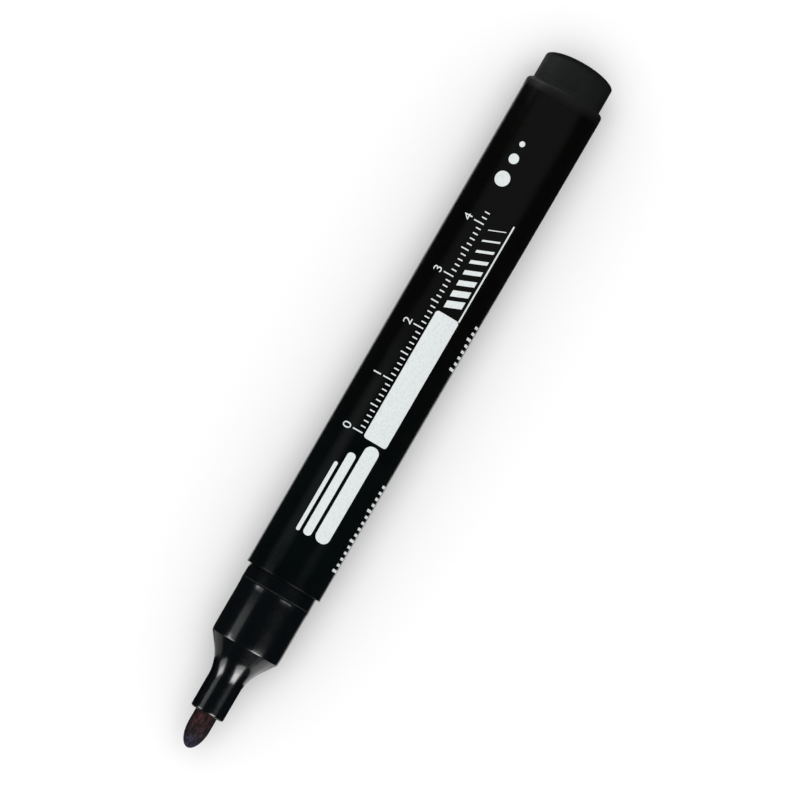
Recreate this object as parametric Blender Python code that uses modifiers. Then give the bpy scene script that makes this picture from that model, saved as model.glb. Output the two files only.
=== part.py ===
"""Bullet-nib permanent marker, uncapped and lying on its side.

The pieces are modelled as they come apart on a bench: a moulded barrel, a domed end plug pressed into
its rear, a stepped nose section pressed into its front, a fibre nib held in the nose, and an ink reservoir,
which is a fibre core in a film sheath. Units are metres, +Z is up and +X points to the nib. The origin lies
on the table, under the middle of the marker. Stations are distances along the marker from its rear end.
"""

import math

import bmesh
import bpy
from mathutils import Matrix

# Lengths that show from outside, from the rear end to the nib
KNOB_LENGTH = 0.0061
BARREL_LENGTH = 0.0938
COLLAR_LENGTH = 0.0032
GRIP_LENGTH = 0.0095
NECK_LENGTH = 0.0058
NIB_REACH = 0.0064

# Barrel
BARREL_FRONT_DIAMETER = 0.0140
BARREL_TAPER = 0.0003
RIM_ROUND = 0.0008
FRONT_EDGE_CHAMFER = 0.00015
RIB_COUNT = 6
RIB_HEIGHT = 0.0010
RIB_WIDTH = 0.0008
RIB_END_GAP = 0.0005

# Steps between the barrel, the collar and the grip, each on the radius
CAP_STEP = 0.00063
COLLAR_SEAT = 0.00027
COLLAR_SINK = 0.0006
GRIP_STEP = 0.00007
GRIP_TAPER = 0.00005
COLLAR_FILLET = 0.0004

# Nose section
SHOULDER_ROUND = 0.0005
CONE_ANGLE = math.radians(35.5)
NECK_FILLET = 0.0078
NECK_WALL = 0.00095
NECK_EDGE_ROUND = 0.00045
NOSE_SPIGOT_LENGTH = 0.0095
CAVITY_SETBACK = 0.0016
NIB_BORE_SETBACK = 0.0026
FIN_COUNT = 4
FIN_LENGTH = 0.0060
FIN_WIDTH = 0.0008
VENT_COUNT = 4
VENT_WIDTH = 0.0006
VENT_DEPTH = 0.0004

# Nib
NIB_DIAMETER = 0.0040
NIB_POINT_LENGTH = 0.00415
NIB_DEPTH_IN_RESERVOIR = 0.0070
NIB_TAIL_LENGTH = 0.0015
NIB_TAIL_DIAMETER = 0.0018

# End plug
DOME_HEIGHT = 0.0018
PLUG_SPIGOT_LENGTH = 0.0070
PLUG_WALL = 0.0012
PLUG_FLOOR = 0.0014
PLUG_FIN_COUNT = 4
PLUG_FIN_WIDTH = 0.0009
PLUG_FIN_HUB = 0.0008

# Beads that seal both spigots in the barrel
BEAD_HEIGHT = 0.0002
BEAD_COUNT = 2

# Film round the reservoir's fibres
FILM_THICKNESS = 0.00015

# Clearances
PRESS_GAP = 0.00005
SEAT_GAP = 0.00010
NIB_CLEARANCE = 0.00010
RESERVOIR_PLAY = 0.00025
RESERVOIR_END_GAP = 0.00030
FILM_GAP = 0.00010

# Flats round every turned piece, few enough for the marker to lie still on one of them
FLATS = 32
ARC_STEPS = 5
POINT_STEPS = 10

# How deep a rib or fin is sunk into the wall it grows from, and the most of a wall that a rounded edge takes
FUSE_DEPTH = 0.0002
EDGE_SHARE = 0.9
MERGE_DISTANCE = 0.000001
SHARP_ANGLE = math.radians(30)

# Radii, worked out from the outside in
barrel_front_radius = BARREL_FRONT_DIAMETER / 2
barrel_rear_radius = (BARREL_FRONT_DIAMETER + BARREL_TAPER) / 2
collar_radius = barrel_front_radius - CAP_STEP
counterbore_radius = collar_radius + SEAT_GAP
bore_radius = collar_radius - COLLAR_SEAT
bead_radius = bore_radius - PRESS_GAP
spigot_radius = bead_radius - BEAD_HEIGHT
grip_radius = collar_radius - GRIP_STEP
shoulder_radius = grip_radius - GRIP_TAPER
knob_radius = grip_radius
sheath_radius = bore_radius - RIB_HEIGHT - SEAT_GAP
core_radius = sheath_radius - FILM_THICKNESS - FILM_GAP
cavity_radius = sheath_radius + RESERVOIR_PLAY
nib_radius = NIB_DIAMETER / 2
nib_bore_radius = nib_radius + NIB_CLEARANCE
neck_radius = nib_bore_radius + NECK_WALL
plug_bore_radius = spigot_radius - PLUG_WALL

# The cone's face and the fillet that runs it out into the neck
cone_drop = shoulder_radius - neck_radius
neck_fillet = min(NECK_FILLET, EDGE_SHARE * cone_drop / (1 - math.cos(CONE_ANGLE)))
fillet_drop = neck_fillet * (1 - math.cos(CONE_ANGLE))
fillet_length = neck_fillet * math.sin(CONE_ANGLE)
cone_length = (cone_drop - fillet_drop) / math.tan(CONE_ANGLE) + fillet_length

# Stations
barrel_rear = KNOB_LENGTH
barrel_front = barrel_rear + BARREL_LENGTH
collar_rear = barrel_front - COLLAR_SINK
collar_front = barrel_front + COLLAR_LENGTH
shoulder = collar_front + GRIP_LENGTH
neck_rear = shoulder + cone_length
nose_front = neck_rear + NECK_LENGTH
nib_tip = nose_front + NIB_REACH
marker_length = nib_tip
plug_front = barrel_rear + PLUG_SPIGOT_LENGTH
nose_rear = collar_rear - NOSE_SPIGOT_LENGTH
cavity_front = shoulder - CAVITY_SETBACK
nib_bore_rear = neck_rear - NIB_BORE_SETBACK
fin_rear = cavity_front - FIN_LENGTH
reservoir_rear = plug_front + RESERVOIR_END_GAP
reservoir_front = fin_rear - RESERVOIR_END_GAP
nib_rear = reservoir_front - NIB_DEPTH_IN_RESERVOIR
axis_height = barrel_rear_radius * math.cos(math.pi / FLATS)


def clear_scene():
    for thing in list(bpy.data.objects):
        bpy.data.objects.remove(thing)


def new_collection(name):
    collection = bpy.data.collections.new(name)
    bpy.context.scene.collection.children.link(collection)
    return collection


def marker_axis():
    """The empty that every piece hangs on. Its +Z runs along the marker, and a flat of each faces down."""
    empty = bpy.data.objects.new("marker_axis", None)
    pieces.objects.link(empty)
    along_x = Matrix.Rotation(math.pi / 2, 4, "Y")
    half_flat = Matrix.Rotation(math.pi / FLATS, 4, "Z")
    empty.matrix_world = Matrix.Translation((0, 0, axis_height)) @ along_x @ half_flat
    return empty


def plain_material(name, colour, roughness):
    material = bpy.data.materials.new(name)
    material.use_nodes = True
    material.diffuse_color = (*colour, 1)
    shader = material.node_tree.nodes["Principled BSDF"]
    shader.inputs["Base Color"].default_value = (*colour, 1)
    shader.inputs["Roughness"].default_value = roughness
    shader.inputs["Metallic"].default_value = 0
    return material


def arc(centre, radius, start, end, steps=ARC_STEPS):
    """Points (radius, station) on a round stretch of a profile. Angles in degrees, 0 away from the axis."""
    points = []
    for step in range(steps + 1):
        angle = math.radians(start + (end - start) * step / steps)
        points.append((centre[0] + radius * math.cos(angle), centre[1] + radius * math.sin(angle)))
    return points


def beads(rear, front):
    """Half-round sealing beads, spaced evenly along a spigot, from the nib end to the rear."""
    points = []
    for bead in range(BEAD_COUNT, 0, -1):
        station = rear + (front - rear) * bead / (BEAD_COUNT + 1)
        points += arc((spigot_radius, station), BEAD_HEIGHT, 90, -90)
    return points


def turned(name, profile, closed, material):
    """A turned piece. Its profile runs along the outside from the nib end, then back along the inside."""
    mesh = bpy.data.meshes.new(name)
    points = [(radius, 0, station - marker_length / 2) for radius, station in profile]
    edges = [(index, index + 1) for index in range(len(points) - 1)]
    if closed:
        edges.append((len(points) - 1, 0))
    mesh.from_pydata(points, edges, [])
    mesh.materials.append(material)
    piece = bpy.data.objects.new(name, mesh)
    pieces.objects.link(piece)
    piece.parent = axis
    screw = piece.modifiers.new("turn", "SCREW")
    screw.axis = "Z"
    screw.angle = 2 * math.pi
    screw.steps = FLATS
    screw.render_steps = FLATS
    screw.use_merge_vertices = True
    screw.merge_threshold = MERGE_DISTANCE
    return piece


def radial_bars(name, count, inner_radius, outer_radius, width, rear, front):
    """A hidden helper: bars spread evenly round the axis, for ribs, fins or the cutters of vent grooves."""
    shape = bmesh.new()
    for bar in range(count):
        cube = bmesh.ops.create_cube(shape, size=1)["verts"]
        size = Matrix.Diagonal((outer_radius - inner_radius, width, front - rear, 1))
        middle = ((inner_radius + outer_radius) / 2, 0, (rear + front) / 2 - marker_length / 2)
        turn = Matrix.Rotation(2 * math.pi * bar / count, 4, "Z")
        bmesh.ops.transform(shape, matrix=turn @ Matrix.Translation(middle) @ size, verts=cube)
    mesh = bpy.data.meshes.new(name)
    shape.to_mesh(mesh)
    shape.free()
    helper = bpy.data.objects.new(name, mesh)
    helpers.objects.link(helper)
    helper.parent = axis
    helper.hide_render = True
    helper.display_type = "WIRE"
    return helper


def combine(piece, helper, operation):
    boolean = piece.modifiers.new(helper.name, "BOOLEAN")
    boolean.operation = operation
    boolean.object = helper


def make_barrel(material):
    """Tapered tube with a round rear rim, a counterbore for the collar and ribs round the reservoir."""
    rim_round = min(RIM_ROUND, EDGE_SHARE * (barrel_rear_radius - bore_radius))
    rim_centre = (barrel_rear_radius - rim_round, barrel_rear + rim_round)
    profile = [
        (barrel_front_radius - FRONT_EDGE_CHAMFER, barrel_front),
        (barrel_front_radius, barrel_front - FRONT_EDGE_CHAMFER),
        *arc(rim_centre, rim_round, 0, -90),
        (bore_radius, barrel_rear),
        (bore_radius, collar_rear - SEAT_GAP),
        (counterbore_radius, collar_rear - SEAT_GAP),
        (counterbore_radius, barrel_front),
    ]
    barrel = turned("barrel", profile, True, material)
    ribs = radial_bars(
        "barrel_ribs", RIB_COUNT, bore_radius - RIB_HEIGHT, bore_radius + FUSE_DEPTH, RIB_WIDTH,
        plug_front + RIB_END_GAP, nose_rear - RIB_END_GAP,
    )
    combine(barrel, ribs, "UNION")
    return barrel


def make_end_plug(material):
    """Domed knob on a hollow spigot. Fins inside the spigot stop the reservoir."""
    knob_front = barrel_rear - SEAT_GAP
    dome = []
    for step in range(POINT_STEPS + 1):
        angle = math.pi / 2 * step / POINT_STEPS
        dome.append((knob_radius * math.cos(angle), DOME_HEIGHT * (1 - math.sin(angle))))
    cavity_floor = DOME_HEIGHT + PLUG_FLOOR
    profile = [
        (0, cavity_floor),
        (plug_bore_radius, cavity_floor),
        (plug_bore_radius, plug_front),
        (spigot_radius, plug_front),
        *beads(barrel_rear, plug_front),
        (spigot_radius, knob_front),
        (knob_radius, knob_front),
        *dome[:-1],
        (0, 0),
    ]
    plug = turned("end_plug", profile, False, material)
    fins = radial_bars(
        "plug_fins", PLUG_FIN_COUNT, PLUG_FIN_HUB, plug_bore_radius + FUSE_DEPTH, PLUG_FIN_WIDTH,
        cavity_floor - FUSE_DEPTH, plug_front - FUSE_DEPTH,
    )
    combine(plug, fins, "UNION")
    return plug


def make_nose_section(material):
    """Collar, grip, cone and neck on a spigot. Fins inside hold the nib and stop the reservoir."""
    edge_round = min(NECK_EDGE_ROUND, EDGE_SHARE * NECK_WALL)
    edge_centre = (neck_radius - edge_round, nose_front - edge_round)
    fillet_centre = (neck_radius + neck_fillet, neck_rear)
    cone_degrees = math.degrees(CONE_ANGLE)
    corner_span = SHOULDER_ROUND * math.tan(CONE_ANGLE / 2)
    corner_centre = (shoulder_radius - SHOULDER_ROUND, shoulder - corner_span)
    foot_centre = (grip_radius + COLLAR_FILLET, collar_front)
    foot_degrees = math.degrees(math.acos(1 - min(GRIP_STEP / COLLAR_FILLET, 1)))
    profile = [
        *arc(edge_centre, edge_round, 90, 0),
        *arc(fillet_centre, neck_fillet, 180, 180 + cone_degrees),
        *arc(corner_centre, SHOULDER_ROUND, cone_degrees, 0),
        *arc(foot_centre, COLLAR_FILLET, 180, 180 + foot_degrees),
        (collar_radius, collar_rear),
        (spigot_radius, collar_rear),
        *beads(nose_rear, collar_rear),
        (spigot_radius, nose_rear),
        (cavity_radius, nose_rear),
        (cavity_radius, cavity_front),
        (nib_bore_radius, nib_bore_rear),
        (nib_bore_radius, nose_front),
    ]
    nose = turned("nose_section", profile, True, material)
    fins = radial_bars(
        "nose_fins", FIN_COUNT, nib_bore_radius, cavity_radius + FUSE_DEPTH, FIN_WIDTH,
        fin_rear, cavity_front,
    )
    vents = radial_bars(
        "nose_vents", VENT_COUNT, nib_radius / 2, nib_bore_radius + VENT_DEPTH, VENT_WIDTH,
        cavity_front, nib_tip,
    )
    combine(nose, fins, "UNION")
    combine(nose, vents, "DIFFERENCE")
    return nose


def make_nib(material):
    """Fibre rod with an elliptical writing point and a blunt tail."""
    point_rear = nib_tip - NIB_POINT_LENGTH
    point = []
    for step in range(POINT_STEPS + 1):
        angle = math.pi / 2 * step / POINT_STEPS
        point.append((nib_radius * math.sin(angle), point_rear + NIB_POINT_LENGTH * math.cos(angle)))
    profile = [
        (0, nib_tip),
        *point[1:],
        (nib_radius, nib_rear + NIB_TAIL_LENGTH),
        (NIB_TAIL_DIAMETER / 2, nib_rear),
        (0, nib_rear),
    ]
    return turned("nib", profile, False, material)


def make_reservoir_core(material):
    """Bundle of fibres that holds the ink, pushed open at the front by the nib's tail."""
    pocket_rear = nib_rear - NIB_CLEARANCE
    profile = [
        (0, pocket_rear),
        (NIB_TAIL_DIAMETER / 2 + NIB_CLEARANCE, pocket_rear),
        (nib_bore_radius, nib_rear + NIB_TAIL_LENGTH),
        (nib_bore_radius, reservoir_front),
        (core_radius, reservoir_front),
        (core_radius, reservoir_rear),
        (0, reservoir_rear),
    ]
    return turned("reservoir_core", profile, False, material)


def make_reservoir_sheath(material):
    """Film wrapped round the fibre core, open at both ends."""
    film_bore = sheath_radius - FILM_THICKNESS
    profile = [
        (sheath_radius, reservoir_front),
        (sheath_radius, reservoir_rear),
        (film_bore, reservoir_rear),
        (film_bore, reservoir_front),
    ]
    return turned("reservoir_sheath", profile, True, material)


def smooth(piece):
    """Turns the piece's modifiers into its mesh, shaded smooth except across its real edges."""
    bpy.context.view_layer.update()
    evaluated = piece.evaluated_get(bpy.context.evaluated_depsgraph_get())
    piece.data = bpy.data.meshes.new_from_object(evaluated)
    piece.data.name = piece.name
    piece.modifiers.clear()
    piece.data.shade_smooth()
    piece.data.set_sharp_from_angle(angle=SHARP_ANGLE)


clear_scene()
pieces = new_collection("permanent_marker")
helpers = new_collection("marker_helpers")
axis = marker_axis()
satin_black = plain_material("satin_black_plastic", (0.010, 0.011, 0.011), 0.38)
matt_black = plain_material("matt_black_plastic", (0.016, 0.018, 0.017), 0.58)
gloss_black = plain_material("gloss_black_plastic", (0.008, 0.009, 0.010), 0.16)
inked_fibre = plain_material("inked_fibre", (0.030, 0.018, 0.022), 0.85)
soaked_fibre = plain_material("soaked_fibre", (0.012, 0.010, 0.014), 0.90)
pale_film = plain_material("pale_film", (0.600, 0.600, 0.580), 0.30)

marker_pieces = [
    make_barrel(satin_black),
    make_end_plug(matt_black),
    make_nose_section(gloss_black),
    make_nib(inked_fibre),
    make_reservoir_core(soaked_fibre),
    make_reservoir_sheath(pale_film),
]
for marker_piece in marker_pieces:
    smooth(marker_piece)
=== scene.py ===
"""Looks of a bullet-nib permanent marker, lying uncapped on a pale floor and seen from above.

The marker's axis lies along X, with the nib at +X. A profile is a list of (radius, x) points that runs along
the outside of a piece from its nib end, and then back along its inside. Shapes are in metres, but materials
lay out their patterns in millimetres.
"""

import math

import bmesh
import bpy
from mathutils import Matrix, Vector


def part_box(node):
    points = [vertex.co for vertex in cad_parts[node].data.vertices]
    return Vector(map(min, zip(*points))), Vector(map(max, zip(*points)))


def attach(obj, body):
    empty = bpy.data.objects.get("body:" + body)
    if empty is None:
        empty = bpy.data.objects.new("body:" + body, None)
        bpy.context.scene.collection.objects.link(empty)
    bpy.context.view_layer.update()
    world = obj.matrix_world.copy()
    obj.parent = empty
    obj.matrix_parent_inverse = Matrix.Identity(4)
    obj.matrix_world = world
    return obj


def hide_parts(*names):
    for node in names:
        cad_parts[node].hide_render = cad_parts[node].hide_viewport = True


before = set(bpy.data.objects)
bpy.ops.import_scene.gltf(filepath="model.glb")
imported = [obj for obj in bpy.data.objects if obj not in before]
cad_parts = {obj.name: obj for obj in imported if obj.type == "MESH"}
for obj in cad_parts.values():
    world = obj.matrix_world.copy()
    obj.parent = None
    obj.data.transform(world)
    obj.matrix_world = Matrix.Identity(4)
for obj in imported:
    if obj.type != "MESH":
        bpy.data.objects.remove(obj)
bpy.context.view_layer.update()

# Barrel: a long moulded tube of satin black plastic, a little wider at the rear so that it leaves its mould.
# Its rear rim is rounded over and left matt. Its grey is a painted highlight for the light that the rounding
# catches, and painted light makes it paler at the seam, where the crease is in shade. Caps have dulled its
# front edge. A shallow counterbore in its mouth takes the nose section's collar.
FLATS_OF_FRAME = 32
STEPS_ROUND = 160
SHARP_DEGREES = 30
WELD_DISTANCE = 0.000001
MM_PER_METRE = 1000
BARREL_FRONT_RADIUS = 0.00700
BARREL_BORE_RADIUS = 0.00610
BARREL_MOUTH_RADIUS = 0.00647
BARREL_MOUTH_DEPTH = 0.00070
BARREL_RIM_ROUND = 0.00080
BARREL_EDGE_ROUND = 0.00012
BARREL_BLACKS = ((0.0009, 0.0010, 0.0008), (0.0015, 0.0016, 0.0013))
BARREL_COOL_BLACKS = ((0.0009, 0.0021, 0.0024), (0.0014, 0.0030, 0.0033))
BARREL_COOLING = (-15, 15)
BARREL_ROUGHNESS = (0.11, 0.15)
BARREL_REAR_DULLNESS = 1.8
BARREL_POLISHING = (-45, 25)
BARREL_EDGE_DULLNESS = 0.14
BARREL_EDGE_FADE = (-0.35, -0.15)
# The rear rim's grey is a painted highlight: the light that its rounding catches, painted into its colour.
BARREL_RIM_PAINTED_LIGHT_GREY = (0.0085, 0.0095, 0.0093)
BARREL_RIM_ROUGHNESS = 0.58
BARREL_RIM_FADE = (0.2, 2.2)
# Painted light: the seam is painted paler to lift the shade in the crease by the plug.
BARREL_SEAM_PAINTED_LIGHT = (0.0150, 0.0168, 0.0164)
BARREL_SEAM_PAINTED_LIGHT_FADE = (0.05, 0.45)
BARREL_PEEL_DEPTH = 0.000001


def frame_radius(name):
    """A solid's own radius: its flats lie a little inside the round surface that they stand for."""
    low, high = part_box(name)
    return (high.z - low.z) / 2 / math.cos(math.pi / FLATS_OF_FRAME)


def arc(centre, radius, start, end, steps=10):
    """Points along an arc. 0 degrees points along their first coordinate, and 90 along their second."""
    points = []
    for step in range(steps + 1):
        angle = math.radians(start + (end - start) * step / steps)
        points.append((centre[0] + radius * math.cos(angle), centre[1] + radius * math.sin(angle)))
    return points


def add_node(tree, kind, inputs=None, output=0, **settings):
    """Adds a node with its settings and its inputs, values or other nodes' outputs, and gives an output."""
    made = tree.nodes.new(kind)
    for name, value in settings.items():
        setattr(made, name, value)
    for name, value in (inputs or {}).items():
        if isinstance(value, bpy.types.NodeSocket):
            tree.links.new(value, made.inputs[name])
        else:
            made.inputs[name].default_value = value
    return made.outputs[output]


def tree_of(*values):
    """The node tree that holds the outputs among some values."""
    return next(value.id_data for value in values if isinstance(value, bpy.types.NodeSocket))


def maths(operation, first, second=0.0):
    """One step of arithmetic on numbers or outputs."""
    inputs = {0: first, 1: second}
    return add_node(tree_of(first, second), "ShaderNodeMath", inputs, operation=operation)


def vector(x=0.0, y=0.0, z=0.0):
    """A vector from three numbers or outputs."""
    return add_node(tree_of(x, y, z), "ShaderNodeCombineXYZ", {"X": x, "Y": y, "Z": z})


def split(place):
    """The X, Y and Z of a vector."""
    return add_node(place.id_data, "ShaderNodeSeparateXYZ", {0: place}).node.outputs


def new_geometry_tree(name, numbers, counts=()):
    """An empty geometry tree with a geometry in and out, and named numbers, counts and a finish to set."""
    tree = bpy.data.node_groups.new(name, "GeometryNodeTree")
    tree.interface.new_socket("Geometry", in_out="INPUT", socket_type="NodeSocketGeometry")
    for labels, kind in ((counts, "Int"), (numbers, "Float"), (("Finish",), "Material")):
        for label in labels:
            tree.interface.new_socket(label, in_out="INPUT", socket_type="NodeSocket" + kind)
    tree.interface.new_socket("Geometry", in_out="OUTPUT", socket_type="NodeSocketGeometry")
    return tree, tree.nodes.new("NodeGroupInput").outputs


def grid_round_axis(rows, steps):
    """A grid to wrap round the marker's axis, the row of each point, and how far the point is turned."""
    tree = rows.id_data
    columns = maths("ADD", steps, 1)
    grid = add_node(tree, "GeometryNodeMeshGrid", {"Vertices X": columns, "Vertices Y": rows})
    index = add_node(tree, "GeometryNodeInputIndex")
    column = maths("FLOOR", maths("DIVIDE", maths("ADD", index, 0.5), rows))
    row = maths("SUBTRACT", index, maths("MULTIPLY", column, rows))
    turn = maths("DIVIDE", maths("MULTIPLY", column, 2 * math.pi), steps)
    return grid, row, turn


def wrap(geometry, x, radius, turn, axis_height):
    """Puts each point of a geometry at a radius from the marker's axis, turned from the top towards +Y."""
    tree = geometry.id_data
    across = maths("MULTIPLY", radius, maths("SINE", turn))
    above = maths("MULTIPLY", radius, maths("COSINE", turn))
    place = vector(x, across, maths("ADD", above, axis_height))
    return add_node(tree, "GeometryNodeSetPosition", {"Geometry": geometry, "Position": place})


def close_tree(geometry, finish):
    """Ends a tree as plain, welded, smooth geometry in one material."""
    tree = geometry.id_data
    whole = add_node(tree, "GeometryNodeRealizeInstances", {"Geometry": geometry})
    welded = add_node(tree, "GeometryNodeMergeByDistance", {"Geometry": whole, "Distance": WELD_DISTANCE})
    smooth = add_node(tree, "GeometryNodeSetShadeSmooth", {"Geometry": welded})
    coated = add_node(tree, "GeometryNodeSetMaterial", {"Geometry": smooth, "Material": finish})
    tree.links.new(coated, tree.nodes.new("NodeGroupOutput").inputs["Geometry"])
    return tree


def new_object(name, data):
    """An object in the scene that holds a mesh, a light or a camera."""
    made = bpy.data.objects.new(name, data)
    bpy.context.scene.collection.objects.link(made)
    return made


def finished_mesh(piece):
    """A plain mesh of a piece as its modifiers leave it."""
    bpy.context.view_layer.update()
    return bpy.data.meshes.new_from_object(piece.evaluated_get(bpy.context.evaluated_depsgraph_get()))


def grow(name, tree, sizes, mesh=None):
    """Runs a geometry tree once and keeps its result as a plain, closed mesh with outward faces."""
    source = new_object(name, mesh or bpy.data.meshes.new(name))
    modifier = source.modifiers.new(tree.name, "NODES")
    modifier.node_group = tree
    for socket in tree.interface.items_tree:
        if socket.in_out == "INPUT" and socket.name in sizes:
            modifier[socket.identifier] = sizes[socket.name]
    grown = finished_mesh(source)
    bpy.data.objects.remove(source)
    shape = bmesh.new()
    shape.from_mesh(grown)
    bmesh.ops.recalc_face_normals(shape, faces=shape.faces)
    shape.to_mesh(grown)
    shape.free()
    grown.set_sharp_from_angle(angle=math.radians(SHARP_DEGREES))
    return new_object(name, grown)


def turning_tree():
    """Turns a profile about the marker's axis. Its points come in order, with x along and z as the radius."""
    tree, given = new_geometry_tree("Turned Moulding", ("Axis Height",), ("Steps Round",))
    profile = given["Geometry"]
    rows = add_node(tree, "GeometryNodeAttributeDomainSize", {"Geometry": profile}, "Point Count")
    grid, row, turn = grid_round_axis(rows, given["Steps Round"])
    position = add_node(tree, "GeometryNodeInputPosition")
    sampled = add_node(
        tree, "GeometryNodeSampleIndex", {"Geometry": profile, "Value": position, "Index": row}, "Value",
        data_type="FLOAT_VECTOR", domain="POINT",
    )
    point = split(sampled)
    turned = wrap(grid, point["X"], point["Z"], turn, given["Axis Height"])
    return close_tree(turned, given["Finish"])


def turned_piece(name, profile, finish):
    """A turned piece. A profile that doesn't start on the axis is closed into a ring."""
    points = list(profile)
    if points[0][0] > 0:
        points.append(points[0])
    mesh = bpy.data.meshes.new(name)
    edges = [(index, index + 1) for index in range(len(points) - 1)]
    mesh.from_pydata([(x, 0, radius) for radius, x in points], edges, [])
    sizes = {"Steps Round": STEPS_ROUND, "Axis Height": axis_height, "Finish": finish}
    return grow(name, turning, sizes, mesh)


def new_material(name, refraction):
    """A material, and the place on its piece in millimetres, to lay patterns on."""
    material = bpy.data.materials.new(name)
    material.use_nodes = True
    tree = material.node_tree
    tree.nodes["Principled BSDF"].inputs["IOR"].default_value = refraction
    place = add_node(tree, "ShaderNodeTexCoord", output="Object")
    in_mm = add_node(tree, "ShaderNodeMapping", {"Vector": place, "Scale": (MM_PER_METRE,) * 3})
    return material, in_mm


def noise(spot, size, detail=2, distortion=0.0):
    """Soft blotches of about that size, in millimetres, as a number from 0 to 1."""
    inputs = {"Vector": spot, "Scale": 1 / size, "Detail": detail, "Distortion": distortion}
    return add_node(spot.id_data, "ShaderNodeTexNoise", inputs)


def span(value, start, end, low=0.3, high=0.7):
    """Carries a number from low..high over to start..end."""
    inputs = {"Value": value, "From Min": low, "From Max": high, "To Min": start, "To Max": end}
    return add_node(value.id_data, "ShaderNodeMapRange", inputs)


def fade(along, start, end, origin, places):
    """Carries start over to end between two places along the marker, in millimetres from an origin."""
    low, high = [origin * MM_PER_METRE + place for place in places]
    return span(along, start, end, low, high)


def tones(share, first, second):
    """A tone between two, each a colour or an output, by a share from 0 to 1 that varies over the surface."""
    inputs = {"Factor": share}
    for label, tone in (("A", first), ("B", second)):
        inputs[label] = tone if isinstance(tone, bpy.types.NodeSocket) else (*tone, 1)
    return add_node(share.id_data, "ShaderNodeMix", inputs, "Result", data_type="RGBA")


def coat(colour, roughness, relief, depth, under=None):
    """Gives a material its colour, its roughness and a relief of that depth, maybe on top of another."""
    tree = colour.id_data
    inputs = {"Height": relief, "Distance": depth}
    if under:
        inputs["Normal"] = under
    bump = add_node(tree, "ShaderNodeBump", inputs)
    shader = tree.nodes["Principled BSDF"]
    for label, output in (("Base Color", colour), ("Roughness", roughness), ("Normal", bump)):
        tree.links.new(output, shader.inputs[label])


def satin_plastic():
    """Satin black moulding with cloudy tone, uneven sheen and a faint orange peel, cooler towards the nib.

    Its rear rim is matt. Its grey is a painted highlight for the light that its rounding catches, and painted
    light makes it paler still at the seam, where the crease is in shade. Its front edge is duller.
    """
    material, spot = new_material("satin_black_plastic", refraction=1.45)
    along = split(spot)["X"]
    clouds = span(noise(spot, size=3.0, detail=4), 0, 1)
    warm = tones(clouds, *BARREL_BLACKS)
    cool = tones(clouds, *BARREL_COOL_BLACKS)
    black = tones(fade(along, 0, 1, 0, BARREL_COOLING), warm, cool)
    # Painted light: paler at the seam, against the crease's shade. The rim's grey is a painted highlight.
    off_seam_painted_light = fade(along, 0, 1, barrel_low.x, BARREL_SEAM_PAINTED_LIGHT_FADE)
    grey = tones(off_seam_painted_light, BARREL_SEAM_PAINTED_LIGHT, BARREL_RIM_PAINTED_LIGHT_GREY)
    off_rim = fade(along, 0, 1, barrel_low.x, BARREL_RIM_FADE)
    smears = span(noise(spot, size=0.9, detail=5, distortion=0.4), *BARREL_ROUGHNESS)
    polish = fade(along, BARREL_REAR_DULLNESS, 1, 0, BARREL_POLISHING)
    dulled = fade(along, 0, BARREL_EDGE_DULLNESS, barrel_high.x, BARREL_EDGE_FADE)
    satin = maths("ADD", maths("MULTIPLY", smears, polish), dulled)
    sheen = span(off_rim, BARREL_RIM_ROUGHNESS, satin, 0, 1)
    coat(tones(off_rim, grey, black), sheen, noise(spot, size=0.30), BARREL_PEEL_DEPTH)
    return material


barrel_low, barrel_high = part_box("barrel")
barrel_rear_radius = frame_radius("barrel")
axis_height = (barrel_low.z + barrel_high.z) / 2
turning = turning_tree()
satin_black = satin_plastic()
mouth_floor = barrel_high.x - BARREL_MOUTH_DEPTH
taper_front = barrel_high.x - BARREL_EDGE_ROUND
taper_rear = barrel_low.x + BARREL_RIM_ROUND
barrel = turned_piece("barrel_tube", [
    *arc((BARREL_FRONT_RADIUS - BARREL_EDGE_ROUND, taper_front), BARREL_EDGE_ROUND, 90, 0, steps=6),
    *arc((barrel_rear_radius - BARREL_RIM_ROUND, taper_rear), BARREL_RIM_ROUND, 0, -90, steps=16),
    (BARREL_BORE_RADIUS, barrel_low.x),
    (BARREL_BORE_RADIUS, mouth_floor),
    (BARREL_MOUTH_RADIUS, mouth_floor),
    (BARREL_MOUTH_RADIUS, barrel_high.x),
], satin_black)
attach(barrel, "barrel")
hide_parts("barrel")

# Ribs inside the barrel: six long ribs of the same moulding. They hold the reservoir in the middle of the
# bore and let air run past it, and they stop short of both spigots.
RIBS = 6
RIB_WIDTH = 0.0008
RIB_HEIGHT = 0.0010
RIB_SINK = 0.0002
RIB_END_GAP = 0.0005


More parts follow.
